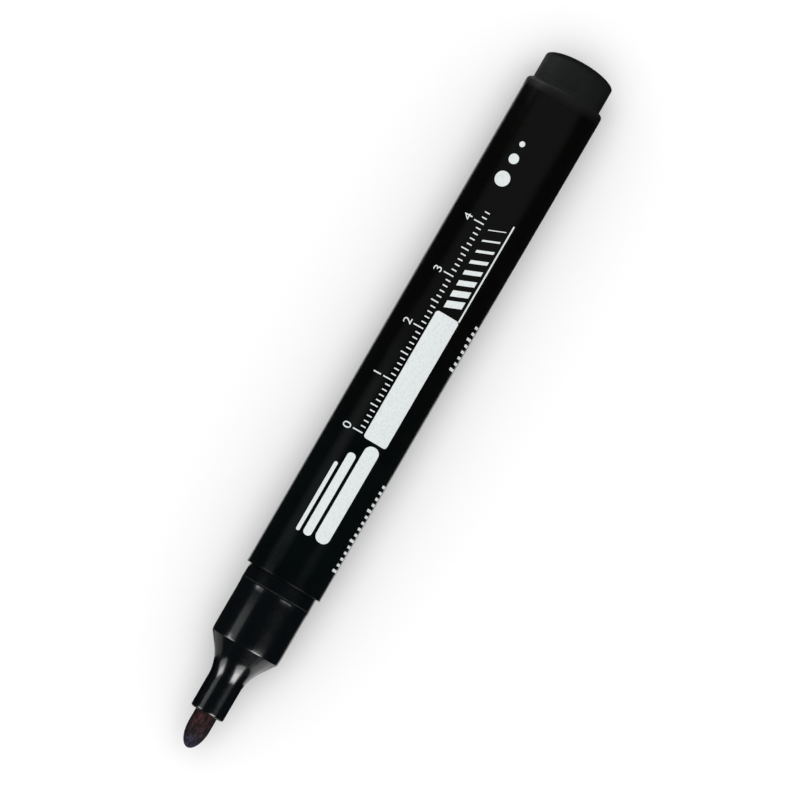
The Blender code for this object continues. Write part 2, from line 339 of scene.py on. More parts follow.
def bars_tree():
    """Bars spread evenly round the marker's axis, each lying along it between two radii."""
    lengths = ("Rear", "Front", "Inner Radius", "Outer Radius", "Width", "Axis Height")
    tree, given = new_geometry_tree("Bars Round The Axis", lengths, ("Count",))
    length = maths("SUBTRACT", given["Front"], given["Rear"])
    depth = maths("SUBTRACT", given["Outer Radius"], given["Inner Radius"])
    size = vector(length, given["Width"], depth)
    bar = add_node(tree, "GeometryNodeMeshCube", {"Size": size})
    middle = maths("MULTIPLY", maths("ADD", given["Front"], given["Rear"]), 0.5)
    radius = maths("MULTIPLY", maths("ADD", given["Outer Radius"], given["Inner Radius"]), 0.5)
    offset = vector(x=middle, z=radius)
    bar = add_node(tree, "GeometryNodeTransform", {"Geometry": bar, "Translation": offset})
    on_axis = vector(z=given["Axis Height"])
    roots = add_node(tree, "GeometryNodePoints", {"Count": given["Count"], "Position": on_axis})
    index = add_node(tree, "GeometryNodeInputIndex")
    turn = maths("DIVIDE", maths("MULTIPLY", index, 2 * math.pi), given["Count"])
    inputs = {"Points": roots, "Instance": bar, "Rotation": vector(x=turn)}
    return close_tree(add_node(tree, "GeometryNodeInstanceOnPoints", inputs), given["Finish"])


def bars_round_axis(name, count, rear, front, inner_radius, outer_radius, width, finish):
    """A set of ribs or fins round the marker's axis."""
    return grow(name, bars, {
        "Count": count,
        "Rear": rear,
        "Front": front,
        "Inner Radius": inner_radius,
        "Outer Radius": outer_radius,
        "Width": width,
        "Axis Height": axis_height,
        "Finish": finish,
    })


bars = bars_tree()
plug_low, plug_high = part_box("end_plug")
nose_low, nose_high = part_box("nose_section")
ribs = bars_round_axis(
    "barrel_ribs", RIBS, plug_high.x + RIB_END_GAP, nose_low.x - RIB_END_GAP,
    BARREL_BORE_RADIUS - RIB_HEIGHT, BARREL_BORE_RADIUS + RIB_SINK, RIB_WIDTH, satin_black,
)
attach(ribs, "barrel")

# Print on the barrel: a thin coat of white ink, pad-printed on the side that lies up. Three stroke samples, a
# bare panel to write on, a scale in millimetres, a hatched tail, three dots for a medium nib, and two rows of
# bars on the right side. Places along the marker count from its rear end, places across it from its top.
INK_SINK = 0.000004
INK_THICKNESS = 0.000016
INK_STEP = 0.0004
INK_WHITES = ((0.60, 0.64, 0.64), (0.70, 0.74, 0.74))
INK_ROUGHNESS = (0.42, 0.58)
INK_PEEL_DEPTH = 0.000002
CORNER_STEPS = 8
STROKE_LENGTH = 0.0182
STROKE_END = 0.0915
STROKES = ((-0.00235, 0.0007, 0.72), (-0.00065, 0.0015, 0.86), (0.00205, 0.0027, 1.0))
STROKE_CORNER = 0.45
PANEL = (0.0483, 0.0727, -0.0006, 0.0039)
RULE = (0.0299, 0.0483, 0.0036, 0.0039)
PANEL_CORNER = 0.12
HATCH_BARS = 8
HATCH_FRONT = 0.0474
HATCH_PITCH = 0.0021
HATCH_WIDTH = 0.0013
HATCH_LEAN = 0.0012
HATCH_EDGES = (0.0001, 0.0030)
DOTS = ((0.0240, 0.00135), (0.0202, 0.00090), (0.0174, 0.00050))
DOT_ACROSS = -0.0022
DOT_STEPS = 40
SCALE_FRONT = 0.0722
SCALE_TICKS = 42
SCALE_PITCH = 0.001
SCALE_ACROSS = -0.0010
TICK_LENGTHS = (0.0009, 0.0014, 0.0019)
TICK_WIDTH = 0.00022
TICK_ROWS = 6
MIDDLE_TICK_EVERY = 5
LONG_TICK_EVERY = 10
NUMERAL_HEIGHT = 0.0017
NUMERAL_ACROSS = -0.0041
FONT_NUMERAL_HEIGHT = 0.7
SIDE_BARS = (("print_side_front", 15, 0.0942), ("print_side_rear", 8, 0.0555))
SIDE_BAR_PITCH = 0.00115
SIDE_BAR_WIDTH = 0.0005
SIDE_BAR_LENGTHS = (0.0016, 0.0021, 0.0021)
SIDE_BAR_FOOT = 0.0095
ink_sizes = {
    "Barrel Rear": taper_rear,
    "Barrel Front": taper_front,
    "Rear Radius": barrel_rear_radius,
    "Front Radius": BARREL_FRONT_RADIUS,
    "Axis Height": axis_height,
    "Ink Sink": INK_SINK,
    "Ink Thickness": INK_THICKNESS,
}


def ink_layer_tree():
    """Wraps a flat shape round the barrel, its y counted from the top, and gives it the ink's thickness."""
    tree, given = new_geometry_tree("Ink Layer On Barrel", ink_sizes)
    flat = split(add_node(tree, "GeometryNodeInputPosition"))
    radius = span(
        flat["X"], given["Rear Radius"], given["Front Radius"], given["Barrel Rear"], given["Barrel Front"]
    )
    turn = maths("DIVIDE", flat["Y"], radius)
    sunk = maths("SUBTRACT", radius, given["Ink Sink"])
    wrapped = wrap(given["Geometry"], flat["X"], sunk, turn, given["Axis Height"])
    inputs = {"Mesh": wrapped, "Offset Scale": given["Ink Thickness"], "Individual": False}
    top = add_node(tree, "GeometryNodeExtrudeMesh", inputs)
    under = add_node(tree, "GeometryNodeFlipFaces", {"Mesh": wrapped})
    joined = add_node(tree, "GeometryNodeJoinGeometry", {"Geometry": top})
    tree.links.new(under, joined.node.inputs[0])
    return close_tree(joined, given["Finish"])


def ticks_tree():
    """A row of ticks on a base line, some of them longer, which then go into the ink layer."""
    own_sizes = ("Pitch", "Start", "Base Line", "Tick Width", "Short", "Middle", "Long")
    tree, given = new_geometry_tree("Scale Ticks", (*own_sizes, *ink_sizes), ("Count",))
    size = {"Size X": 1, "Size Y": 1, "Vertices X": 2, "Vertices Y": TICK_ROWS}
    tick = add_node(tree, "GeometryNodeMeshGrid", size)
    on_line = add_node(tree, "GeometryNodeTransform", {"Geometry": tick, "Translation": (0, -0.5, 0)})
    row = add_node(tree, "GeometryNodeMeshLine", {
        "Count": given["Count"],
        "Start Location": vector(given["Start"], given["Base Line"]),
        "Offset": vector(given["Pitch"]),
    })
    index = add_node(tree, "GeometryNodeInputIndex")
    length = given["Short"]
    for every, longer in ((MIDDLE_TICK_EVERY, given["Middle"]), (LONG_TICK_EVERY, given["Long"])):
        due = maths("COMPARE", maths("MODULO", index, every), 0)
        choice = {"Switch": due, "False": length, "True": longer}
        length = add_node(tree, "GeometryNodeSwitch", choice, input_type="FLOAT")
    ticks = add_node(tree, "GeometryNodeInstanceOnPoints", {
        "Points": row,
        "Instance": on_line,
        "Scale": vector(given["Tick Width"], length, 1),
    })
    inputs = {"Geometry": add_node(tree, "GeometryNodeRealizeInstances", {"Geometry": ticks})}
    for label in (*ink_sizes, "Finish"):
        inputs[label] = given[label]
    inked = add_node(tree, "GeometryNodeGroup", inputs, node_tree=ink_layer)
    return close_tree(inked, given["Finish"])


def rounded_bar(rear, front, low, high, radius):
    """Outline of a flat bar with round corners, x along the marker and y round the barrel."""
    outline = []
    corners = ((front - radius, high - radius), (rear + radius, high - radius),
               (rear + radius, low + radius), (front - radius, low + radius))
    for corner, centre in enumerate(corners):
        outline += arc(centre, radius, 90 * corner, 90 * corner + 90, CORNER_STEPS)
    return outline


def flat_shapes(name, outlines, numerals=()):
    """One flat mesh of filled outlines and numerals, cut into strips that can bend round the barrel."""
    shape = bmesh.new()
    for outline in outlines:
        shape.faces.new([shape.verts.new((x, y, 0)) for x, y in outline])
    for text, x, y in numerals:
        curve = bpy.data.curves.new(name, "FONT")
        curve.body = text
        curve.align_x = "CENTER"
        curve.align_y = "CENTER"
        curve.size = NUMERAL_HEIGHT / FONT_NUMERAL_HEIGHT
        letter = bpy.data.objects.new(name, curve)
        mesh = bpy.data.meshes.new_from_object(letter)
        mesh.transform(Matrix.Translation((x, y, 0)) @ Matrix.Rotation(math.pi, 4, "Z"))
        shape.from_mesh(mesh)
        bpy.data.objects.remove(letter)
    across = [vertex.co.y for vertex in shape.verts]
    for cut in range(math.ceil(min(across) / INK_STEP), math.ceil(max(across) / INK_STEP)):
        everything = shape.verts[:] + shape.edges[:] + shape.faces[:]
        bmesh.ops.bisect_plane(shape, geom=everything, plane_co=(0, cut * INK_STEP, 0), plane_no=(0, 1, 0))
    for face in shape.faces:
        if face.normal.z < 0:
            face.normal_flip()
    mesh = bpy.data.meshes.new(name)
    shape.to_mesh(mesh)
    shape.free()
    return mesh


def white_ink():
    """Pad-printing ink: chalky white, a little thin in places, with a fine orange-peel skin."""
    material, spot = new_material("white_print_ink", refraction=1.45)
    cover = span(noise(spot, size=0.35, detail=4), 0, 1, low=0.25, high=0.55)
    chalk = span(noise(spot, size=0.5), *INK_ROUGHNESS)
    coat(tones(cover, *INK_WHITES), chalk, noise(spot, size=0.12), INK_PEEL_DEPTH)
    return material


ink_layer = ink_layer_tree()
in_white = {**ink_sizes, "Finish": white_ink()}
rear_end = plug_low.x
strokes = []
for across, width, share in STROKES:
    front = rear_end + STROKE_END
    rear = front - STROKE_LENGTH * share
    strokes.append(rounded_bar(rear, front, across - width / 2, across + width / 2, width * STROKE_CORNER))
panel_and_rule = []
for rear, front, low, high in (PANEL, RULE):
    corner = (high - low) * PANEL_CORNER
    panel_and_rule.append(rounded_bar(rear_end + rear, rear_end + front, low, high, corner))
hatch = []
for bar in range(HATCH_BARS):
    front = rear_end + HATCH_FRONT - bar * HATCH_PITCH
    rear = front - HATCH_WIDTH * (1 - bar / HATCH_BARS)
    low, high = HATCH_EDGES
    hatch.append([(rear, low), (front, low), (front - HATCH_LEAN, high), (rear - HATCH_LEAN, high)])
dots = [arc((rear_end + x, DOT_ACROSS), radius, 0, 360, DOT_STEPS)[:-1] for x, radius in DOTS]
numerals = []
for number in range(SCALE_TICKS // LONG_TICK_EVERY + 1):
    x = rear_end + SCALE_FRONT - SCALE_PITCH * LONG_TICK_EVERY * number
    numerals.append((str(number), x, NUMERAL_ACROSS))
prints = []
for name, *shapes in (
    ("print_strokes", strokes),
    ("print_panel", panel_and_rule),
    ("print_hatch", hatch),
    ("print_dots", dots),
    ("print_numerals", (), numerals),
):
    prints.append(grow(name, ink_layer, in_white, flat_shapes(name, *shapes)))
ticks = ticks_tree()
rows = [("print_scale", SCALE_TICKS + 1, SCALE_PITCH, SCALE_FRONT, SCALE_ACROSS, TICK_WIDTH, TICK_LENGTHS)]
for name, count, front in SIDE_BARS:
    rows.append((name, count, SIDE_BAR_PITCH, front, SIDE_BAR_FOOT, SIDE_BAR_WIDTH, SIDE_BAR_LENGTHS))
for name, count, pitch, front, foot, width, lengths in rows:
    prints.append(grow(name, ticks, {
        "Count": count,
        "Pitch": -pitch,
        "Start": rear_end + front,
        "Base Line": foot,
        "Tick Width": width,
        "Short": lengths[0],
        "Middle": lengths[1],
        "Long": lengths[2],
        **in_white,
    }))
for printed in prints:
    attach(printed, "barrel")

# Reservoir: a bundle of polyester fibres soaked with black ink, with a pocket pushed open by the nib's tail.
# A film is wrapped round it, pale where the ink hasn't stained it.
POCKET_RADIUS = 0.00210
POCKET_TAIL_RADIUS = 0.00100
POCKET_DEPTH = 0.00710
POCKET_TAIL_LENGTH = 0.00160
FIBRE_BLACK = (0.006, 0.005, 0.008)
FIBRE_VIOLET = (0.022, 0.016, 0.030)
FIBRE_STRETCH = 25
FIBRE_ROUGHNESS = (0.55, 0.9)
FIBRE_DEPTH = 0.00004
FILM_THICKNESS = 0.00015
FILM_PALE = (0.62, 0.62, 0.60)
FILM_STAINED = (0.34, 0.31, 0.36)
FILM_ROUGHNESS = (0.18, 0.34)
CREASE_STRETCH = 12
CREASE_DEPTH = 0.00006


def stretched(spot, times):
    """The place on a piece, so that a pattern on it is drawn out so many times along the marker."""
    squeezed = {"Vector": spot, "Scale": (1 / times, 1, 1)}
    return add_node(spot.id_data, "ShaderNodeMapping", squeezed)


def soaked_fibre():
    """Fibres that lie along the marker, soaked with ink: streaks of black and violet with a damp sheen."""
    material, spot = new_material("soaked_fibre", refraction=1.40)
    fibres = noise(stretched(spot, FIBRE_STRETCH), size=0.09, detail=3)
    damp = span(noise(spot, size=0.8), *FIBRE_ROUGHNESS)
    coat(tones(span(fibres, 0, 1), FIBRE_BLACK, FIBRE_VIOLET), damp, fibres, FIBRE_DEPTH)
    return material


def wrapped_film():
    """Film round the fibres: pale, stained by ink in clouds, with long shallow creases from the wrapping."""
    material, spot = new_material("pale_film", refraction=1.50)
    stain = span(noise(spot, size=6.0, detail=5, distortion=0.8), 0, 1, low=0.4, high=0.7)
    sheen = span(noise(spot, size=1.5), *FILM_ROUGHNESS)
    creases = noise(stretched(spot, CREASE_STRETCH), size=0.9, detail=3)
    coat(tones(stain, FILM_PALE, FILM_STAINED), sheen, creases, CREASE_DEPTH)
    return material


core_low, core_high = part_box("reservoir_core")
core_radius = frame_radius("reservoir_core")
pocket_rear = core_high.x - POCKET_DEPTH
core = turned_piece("reservoir_fibres", [
    (0, pocket_rear),
    (POCKET_TAIL_RADIUS, pocket_rear),
    (POCKET_RADIUS, pocket_rear + POCKET_TAIL_LENGTH),
    (POCKET_RADIUS, core_high.x),
    (core_radius, core_high.x),
    (core_radius, core_low.x),
    (0, core_low.x),
], soaked_fibre())
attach(core, "barrel")
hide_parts("reservoir_core")
film_low, film_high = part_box("reservoir_sheath")
film_radius = frame_radius("reservoir_sheath")
film = turned_piece("reservoir_film", [
    (film_radius, film_high.x),
    (film_radius, film_low.x),
    (film_radius - FILM_THICKNESS, film_low.x),
    (film_radius - FILM_THICKNESS, film_high.x),
], wrapped_film())
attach(film, "barrel")
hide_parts("reservoir_sheath")

# End plug: a matt charcoal knob with a domed end, moulded with a hollow spigot that presses into the barrel.
# Two beads round the spigot seal it, and fins inside it stop the reservoir.
KNOB_EDGE_ROUND = 0.00004
DOME_HEIGHT = 0.00180
DOME_STEPS = 24
SPIGOT_RADIUS = 0.00585
PLUG_BORE_RADIUS = 0.00465
PLUG_FLOOR = 0.00140
PLUG_FINS = 4
PLUG_FIN_WIDTH = 0.0009
PLUG_FIN_HUB = 0.0008
FIN_SINK = 0.0002
BEAD_HEIGHT = 0.0002
BEADS = 2
SEAT_GAP = 0.00001
PLUG_CHARCOALS = ((0.0062, 0.0070, 0.0069), (0.0078, 0.0087, 0.0085))
# Painted light: a paler grey at the seam, against the shade of the crease.
PLUG_SEAM_PAINTED_LIGHT = (0.0115, 0.0128, 0.0125)
PLUG_SEAM_PAINTED_LIGHT_FADE = (-0.7, -0.05)
PLUG_ROUGHNESS = (0.58, 0.72)
PLUG_PIT_DEPTH = 0.000006


def beads(rear, front):
    """Half-round sealing beads, spaced evenly along a spigot, from the nib end to the rear."""
    points = []
    for bead in range(BEADS, 0, -1):
        x = rear + (front - rear) * bead / (BEADS + 1)
        points += arc((SPIGOT_RADIUS, x), BEAD_HEIGHT, 90, -90)
    return points


def matt_plastic():
    """Matt charcoal moulding with the fine pitted skin of a spark-eroded mould, with painted light towards
    the seam that lifts the shade of the crease.
    """
    material, spot = new_material("matt_charcoal_plastic", refraction=1.33)
    clouds = span(noise(spot, size=2.5, detail=4), 0, 1)
    charcoal = tones(clouds, *PLUG_CHARCOALS)
    # Painted light: paler towards the seam, where the crease would be in shade.
    painted_light_at_seam = fade(split(spot)["X"], 0, 1, barrel_low.x, PLUG_SEAM_PAINTED_LIGHT_FADE)
    matt = span(noise(spot, size=0.6, detail=4), *PLUG_ROUGHNESS)
    tone = tones(painted_light_at_seam, charcoal, PLUG_SEAM_PAINTED_LIGHT)
    coat(tone, matt, noise(spot, size=0.13), PLUG_PIT_DEPTH)
    return material


matt_charcoal = matt_plastic()
knob_radius = frame_radius("end_plug")
knob_front = barrel_low.x - SEAT_GAP
plug_floor = plug_low.x + DOME_HEIGHT + PLUG_FLOOR
dome = []
for across, back in arc((0, 0), 1, 0, 90, DOME_STEPS)[:-1]:
    dome.append((knob_radius * across, plug_low.x + DOME_HEIGHT * (1 - back)))
plug = turned_piece("end_plug_knob", [
    (0, plug_floor),
    (PLUG_BORE_RADIUS, plug_floor),
    (PLUG_BORE_RADIUS, plug_high.x),
    (SPIGOT_RADIUS, plug_high.x),
    *beads(barrel_low.x, plug_high.x),
    (SPIGOT_RADIUS, knob_front),
    *arc((knob_radius - KNOB_EDGE_ROUND, knob_front - KNOB_EDGE_ROUND), KNOB_EDGE_ROUND, 90, 0, steps=6),
    *dome,
    (0, plug_low.x),
], matt_charcoal)
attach(plug, "end_plug")
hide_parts("end_plug")
plug_fins = bars_round_axis(
    "end_plug_fins", PLUG_FINS, plug_floor - FIN_SINK, plug_high.x - FIN_SINK,
    PLUG_FIN_HUB, PLUG_BORE_RADIUS + FIN_SINK, PLUG_FIN_WIDTH, matt_charcoal,
)
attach(plug_fins, "end_plug")

# Nose section: one polished black moulding, pressed into the barrel's mouth. A collar, a grip, a shoulder and
# a cone that runs out into the neck round the nib, with vents along the neck's bore and fins in its cavity.
# Caps have worn a broken grey line round the collar's edge.
COLLAR_SINK = 0.0006
COLLAR_EDGE_ROUND = 0.0012
COLLAR_FOOT_ROUND = 0.0070
COLLAR_DRAFT = 0.00008
GRIP_LENGTH = 0.0089
GRIP_RADIUS = 0.00630
SHOULDER_RADIUS = 0.00625
SHOULDER_ROUND = 0.00045
SHOULDER_EASE_ROUND = 0.0135
SHOULDER_EASE_DEGREES = 6.1
CONE_DEGREES = 35.5
NECK_RADIUS = 0.00305
NECK_FILLET = 0.00780
NECK_LENGTH = 0.00580
NECK_EDGE_ROUND = 0.00045
NECK_EASE_ROUND = 0.0034
NECK_EASE_DEGREES = 4
NIB_BORE_RADIUS = 0.00210
NIB_BORE_SETBACK = 0.0026
CAVITY_RADIUS = 0.00525
CAVITY_SETBACK = 0.0016
NOSE_FINS = 4
NOSE_FIN_LENGTH = 0.0060
NOSE_FIN_WIDTH = 0.0008
VENTS = 4
VENT_WIDTH = 0.0006
VENT_DEPTH = 0.0004
NOSE_BLACKS = ((0.0010, 0.0020, 0.0028), (0.0016, 0.0029, 0.0038))
NOSE_ROUGHNESS = (0.14, 0.20)
NOSE_PEEL_DEPTH = 0.000003
WORN_GREY = (0.0230, 0.0245, 0.0240)
WORN_LINE_WIDTH = 0.24
WORN_LINE_BREAKS = (0.1, 1.2)
WAVE_PITCH = 0.314
TOOL_LINE_PITCH = 0.16
TOOL_LINE_WANDER = 0.3
TOOL_LINE_DEPTH = 0.0000006
TOOL_LINES_BEGIN = (0, 1)
TOOL_LINES_END = (-2, 0)


def polished_plastic():
    """Polished black plastic, with a turned mould's fine lines round the cone and smears from handling."""
    material, spot = new_material("gloss_black_plastic", refraction=1.50)
    along = split(spot)["X"]
    clouds = span(noise(spot, size=2.0, detail=3), 0, 1)
    black = tones(clouds, *NOSE_BLACKS)
    worn_line = collar_edge * MM_PER_METRE - WORN_LINE_WIDTH
    off_line = maths("ABSOLUTE", maths("SUBTRACT", along, worn_line))
    on_line = span(off_line, 1, 0, WORN_LINE_WIDTH / 4, WORN_LINE_WIDTH / 2)
    breaks = span(noise(spot, size=0.4, detail=4), *WORN_LINE_BREAKS)
    tone = tones(maths("MULTIPLY", on_line, breaks), black, WORN_GREY)
    smears = span(noise(spot, size=0.7, detail=5, distortion=0.6), *NOSE_ROUGHNESS)
    tree = material.node_tree
    waves = {"Vector": spot, "Scale": WAVE_PITCH / TOOL_LINE_PITCH, "Distortion": TOOL_LINE_WANDER}
    lines = add_node(tree, "ShaderNodeTexWave", waves, "Fac", bands_direction="X")
    past_shoulder = fade(along, 0, 1, shoulder, TOOL_LINES_BEGIN)
    before_neck = fade(along, 1, 0, neck_rear, TOOL_LINES_END)
    on_cone = maths("MULTIPLY", lines, maths("MULTIPLY", past_shoulder, before_neck))
    tooled = add_node(tree, "ShaderNodeBump", {"Height": on_cone, "Distance": TOOL_LINE_DEPTH})
    coat(tone, smears, noise(spot, size=0.8), NOSE_PEEL_DEPTH, tooled)
    return material


def eased_corner(radius, ease_round, ease_degrees, edge_round, degrees, through):
    """A cylinder's front corner: it eases inwards, then turns by some degrees to a line through a point."""
    far = math.radians(degrees)
    near = math.radians(ease_degrees)
    rise = ease_round - edge_round
    edge_radius = radius - ease_round + rise * math.cos(near)
    edge_x = through[1] + ((through[0] - edge_radius) * math.cos(far) - edge_round) / math.sin(far)
    ease_x = edge_x - rise * math.sin(near)
    return [
        *arc((edge_radius, edge_x), edge_round, degrees, ease_degrees, steps=12),
        *arc((radius - ease_round, ease_x), ease_round, ease_degrees, 0, steps=8)[1:],
    ]


cone_angle = math.radians(CONE_DEGREES)
cone_drop = SHOULDER_RADIUS - NECK_RADIUS - NECK_FILLET * (1 - math.cos(cone_angle))
cone_length = cone_drop / math.tan(cone_angle) + NECK_FILLET * math.sin(cone_angle)
neck_rear = nose_high.x - NECK_LENGTH
shoulder = neck_rear - cone_length
collar_front = shoulder - GRIP_LENGTH
collar_foot = (GRIP_RADIUS + COLLAR_FOOT_ROUND, collar_front)
collar_rear = barrel_high.x - COLLAR_SINK
collar_radius = frame_radius("nose_section")
step_rounds = COLLAR_FOOT_ROUND + COLLAR_EDGE_ROUND
step_angle = math.acos(1 - (collar_radius - GRIP_RADIUS) / step_rounds)
step_degrees = math.degrees(step_angle)
collar_edge = collar_front - step_rounds * math.sin(step_angle)
cavity_front = shoulder - CAVITY_SETBACK
nib_bore_rear = neck_rear - NIB_BORE_SETBACK
gloss_black = polished_plastic()
nose = turned_piece("nose_moulding", [
    *eased_corner(NECK_RADIUS, NECK_EASE_ROUND, NECK_EASE_DEGREES, NECK_EDGE_ROUND, 90, (0, nose_high.x)),
    *arc((NECK_RADIUS + NECK_FILLET, neck_rear), NECK_FILLET, 180, 180 + CONE_DEGREES, steps=24),
    *eased_corner(
        GRIP_RADIUS, SHOULDER_EASE_ROUND, SHOULDER_EASE_DEGREES, SHOULDER_ROUND, CONE_DEGREES,
        (SHOULDER_RADIUS, shoulder),
    ),
    *arc(collar_foot, COLLAR_FOOT_ROUND, 180, 180 + step_degrees, steps=8),
    *arc((collar_radius - COLLAR_EDGE_ROUND, collar_edge), COLLAR_EDGE_ROUND, step_degrees, 0, steps=8),
    (collar_radius - COLLAR_DRAFT, collar_rear),
    (SPIGOT_RADIUS, collar_rear),
    *beads(nose_low.x, collar_rear),
    (SPIGOT_RADIUS, nose_low.x),
    (CAVITY_RADIUS, nose_low.x),
    (CAVITY_RADIUS, cavity_front),
    (NIB_BORE_RADIUS, nib_bore_rear),
    (NIB_BORE_RADIUS, nose_high.x),
], gloss_black)
vents = bars_round_axis(
    "nose_vents", VENTS, cavity_front, nose_high.x + VENT_DEPTH,
    NIB_BORE_RADIUS / 2, NIB_BORE_RADIUS + VENT_DEPTH, VENT_WIDTH, gloss_black,
)
cut = nose.modifiers.new("vents", "BOOLEAN")
cut.object = vents
cut.operation = "DIFFERENCE"
cut.solver = "EXACT"
vented = finished_mesh(nose)
nose.modifiers.clear()
nose.data = vented
nose.data.set_sharp_from_angle(angle=math.radians(SHARP_DEGREES))
bpy.data.objects.remove(vents)
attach(nose, "nose_section")
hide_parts("nose_section")
nose_fins = bars_round_axis(
    "nose_fins", NOSE_FINS, cavity_front - NOSE_FIN_LENGTH, cavity_front,
    NIB_BORE_RADIUS, CAVITY_RADIUS + FIN_SINK, NOSE_FIN_WIDTH, gloss_black,
)
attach(nose_fins, "nose_section")

# Nib: a rod of polyester fibres, bonded along its length and ground to a bullet point. Ink stains it maroon
# at the neck and blue-violet at the tip, and its tail is ground to a blunt cone that enters the reservoir.
NIB_POINT_LENGTH = 0.00415
NIB_TAIL_LENGTH = 0.00150
NIB_TAIL_RADIUS = 0.00090
NIB_ROWS = 220
NIB_FUZZ = 0.000030
NIB_FUZZ_ALONG = 150
NIB_FUZZ_ROUND = 9
NIB_SEED = 7.0
NIB_MAROON = (0.0290, 0.0082, 0.0100)
NIB_BROWN_BLACK = (0.0135, 0.0098, 0.0115)
NIB_BROWN_FADE = (-6.2, -2.2)
NIB_VIOLET = (0.0200, 0.0175, 0.0420)
NIB_VIOLET_FADE = (-2.6, -0.4)
NIB_STAIN_BLUR = 3.0
NIB_STREAK_STRETCH = 6.25
NIB_STREAK_SHADES = (0.10, 2.00)
NIB_BLOT_SHADES = (0.40, 1.55)
# Painted shade on the nib's sides: how dark it gets, and where it begins and ends, in mm from the axis.
NIB_PAINTED_FLANK_SHADE = 0.25
NIB_PAINTED_SHADE_FLANKS = (1.0, 1.9)
NIB_ROUGHNESS = (0.75, 0.95)
NIB_STREAK_DEPTH = 0.00003


def nib_tree():
    """A rod with an elliptical point and a blunt tail, roughened by fibres that run along it."""
    lengths = ("Rear", "Tip", "Radius", "Point Length", "Tail Length", "Tail Radius", "Axis Height", "Fuzz")
    tree, given = new_geometry_tree("Ground Fibre Nib", (*lengths, "Seed"), ("Rows", "Steps Round"))
    grid, row, turn = grid_round_axis(given["Rows"], given["Steps Round"])
    last_row = maths("SUBTRACT", given["Rows"], 2)
    share = maths("DIVIDE", maths("MAXIMUM", maths("SUBTRACT", row, 1), 0), last_row)
    closer = maths("SINE", maths("MULTIPLY", share, math.pi / 2))
    length = maths("SUBTRACT", given["Tip"], given["Rear"])
    from_rear = maths("MULTIPLY", closer, length)
    x = maths("ADD", given["Rear"], from_rear)
    tail_rise = maths("SUBTRACT", given["Radius"], given["Tail Radius"])
    tail_share = maths("MINIMUM", maths("DIVIDE", from_rear, given["Tail Length"]), 1)
    tail = maths("ADD", given["Tail Radius"], maths("MULTIPLY", tail_rise, tail_share))
    point_rear = maths("SUBTRACT", given["Tip"], given["Point Length"])
    in_point = maths("DIVIDE", maths("SUBTRACT", x, point_rear), given["Point Length"])
    in_point = maths("MINIMUM", maths("MAXIMUM", in_point, 0), 1)
    narrowing = maths("SQRT", maths("SUBTRACT", 1, maths("MULTIPLY", in_point, in_point)))
    radius = maths("MULTIPLY", tail, narrowing)
    grain_x = maths("MULTIPLY", x, NIB_FUZZ_ALONG)
    grain_y = maths("MULTIPLY", maths("SINE", turn), NIB_FUZZ_ROUND)
    grain_z = maths("MULTIPLY", maths("COSINE", turn), NIB_FUZZ_ROUND)
    fibres = add_node(
        tree, "ShaderNodeTexNoise",
        {"Vector": vector(grain_x, grain_y, grain_z), "W": given["Seed"], "Scale": 1, "Detail": 3},
        noise_dimensions="4D",
    )
    wear = maths("MULTIPLY", maths("SUBTRACT", fibres, 1), given["Fuzz"])
    rough = maths("ADD", radius, maths("MULTIPLY", wear, narrowing))
    closed = maths("MULTIPLY", rough, maths("MINIMUM", row, 1))
    shaped = wrap(grid, x, closed, turn, given["Axis Height"])
    return close_tree(shaped, given["Finish"])


def stained_nib():
    """Bonded fibres along the nib: streaks, maroon at the neck, brown-black in the middle, violet at the tip.

    Blots of ink darken it unevenly, and painted shade darkens its sides, away from its top.
    """
    material, spot = new_material("stained_nib_fibre", refraction=1.20)
    place = split(spot)
    streaks = noise(stretched(spot, NIB_STREAK_STRETCH), size=0.34, detail=5, distortion=0.6)
    wander = maths("SUBTRACT", noise(spot, size=0.7, detail=3), 0.5)
    along = maths("ADD", place["X"], maths("MULTIPLY", wander, NIB_STAIN_BLUR))
    to_brown = fade(along, 0, 1, nib_high.x, NIB_BROWN_FADE)
    to_violet = fade(along, 0, 1, nib_high.x, NIB_VIOLET_FADE)
    stain = tones(to_violet, tones(to_brown, NIB_MAROON, NIB_BROWN_BLACK), NIB_VIOLET)
    dark_streaks = span(streaks, *NIB_STREAK_SHADES, low=0.33, high=0.67)
    blots = noise(spot, size=0.9, detail=5, distortion=0.4)
    dark_blots = span(blots, *NIB_BLOT_SHADES, low=0.36, high=0.64)
    # Painted shade: darker towards the sides, away from the top, where less light falls.
    painted_flank_shade = span(maths("ABSOLUTE", place["Y"]), 1, NIB_PAINTED_FLANK_SHADE, *NIB_PAINTED_SHADE_FLANKS)
    shade = maths("MULTIPLY", maths("MULTIPLY", dark_streaks, dark_blots), painted_flank_shade)
    shaded = add_node(
        material.node_tree, "ShaderNodeMix", {"Factor": 1.0, "A": stain, "B": shade}, "Result",
        data_type="RGBA", blend_type="MULTIPLY",
    )
    coat(shaded, span(streaks, *NIB_ROUGHNESS), streaks, NIB_STREAK_DEPTH)
    return material


nib_low, nib_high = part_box("nib")
nib = grow("nib_rod", nib_tree(), {
    "Rear": nib_low.x,
    "Tip": nib_high.x,
    "Radius": frame_radius("nib"),
    "Point Length": NIB_POINT_LENGTH,
    "Tail Length": NIB_TAIL_LENGTH,
    "Tail Radius": NIB_TAIL_RADIUS,
    "Rows": NIB_ROWS,
    "Steps Round": STEPS_ROUND,
    "Axis Height": axis_height,
    "Fuzz": NIB_FUZZ,
    "Seed": NIB_SEED,
    "Finish": stained_nib(),
})
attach(nib, "nib")
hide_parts("nib")

# Floor: a plain pale table top in matt paint, which reaches far past the picture. The marker lies on it on
# the widest place of its barrel, at the rear.
REACH = 3.0
FLOOR_WHITE = (0.93, 0.93, 0.93)
table = axis_height - barrel_rear_radius


